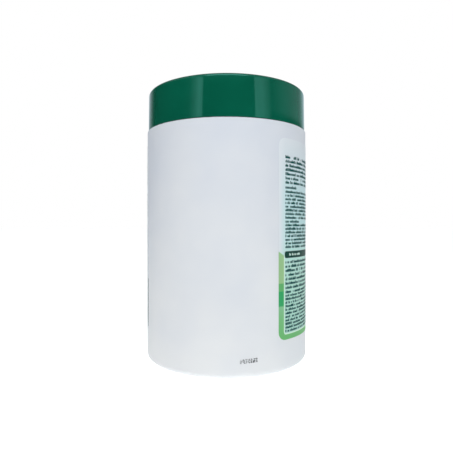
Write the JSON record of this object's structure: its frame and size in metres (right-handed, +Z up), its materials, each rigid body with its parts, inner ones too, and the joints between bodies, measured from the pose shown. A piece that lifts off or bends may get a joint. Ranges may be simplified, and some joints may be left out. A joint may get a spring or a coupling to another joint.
{
  "type": "disinfectant wipes jar",
  "caption": "Round white plastic jar with a smooth green screw lid and flip cap, dispensing disinfectant wipes from a centre-pull roll.",
  "frame": {"origin": "middle of the base, on the plane of the standing ring", "axes": "+Z up the jar's axis to the lid; the flip cap's thumb tab faces -Y and its hinge is at +Y"},
  "size_m": [0.1156, 0.1153, 0.19],
  "materials": {
    "white_body": "satin blow-moulded polyethylene",
    "green_lid": "high-gloss moulded polypropylene",
    "label_film": "printed satin film",
    "soft_insert": "soft translucent polyethylene",
    "gasket_foam": "closed-cell polyethylene foam",
    "nonwoven": "damp spunlace nonwoven"
  },
  "bodies": {
    "jar": {"jar_body": "white_body", "label": "label_film", "wipe_roll": "nonwoven"},
    "seal": {"neck_gasket": "gasket_foam"},
    "lid": {"lid_shell": "green_lid", "orifice_insert": "soft_insert", "wipe_strip": "nonwoven"},
    "flap": {"flip_cap": "green_lid"}
  },
  "joints": [
    {"name": "lid_rise", "type": "slide", "parent": "jar", "child": "seal", "axis": [0, 0, 1], "range_m": [0, 0.028]},
    {"name": "lid_turn", "type": "hinge", "parent": "seal", "child": "lid", "pos_m": [0, 0, 0.1627], "axis": [0, 0, 1], "range_deg": [0, 840]},
    {"name": "flap_open", "type": "hinge", "parent": "lid", "child": "flap", "pos_m": [0, 0.0365, 0.1869], "axis": [-1, 0, 0], "range_deg": [0, 110]}
  ],
  "couplings": [
    {"joint": "lid_rise", "follows": "lid_turn", "m_per_rad": 0.0019099}
  ]
}
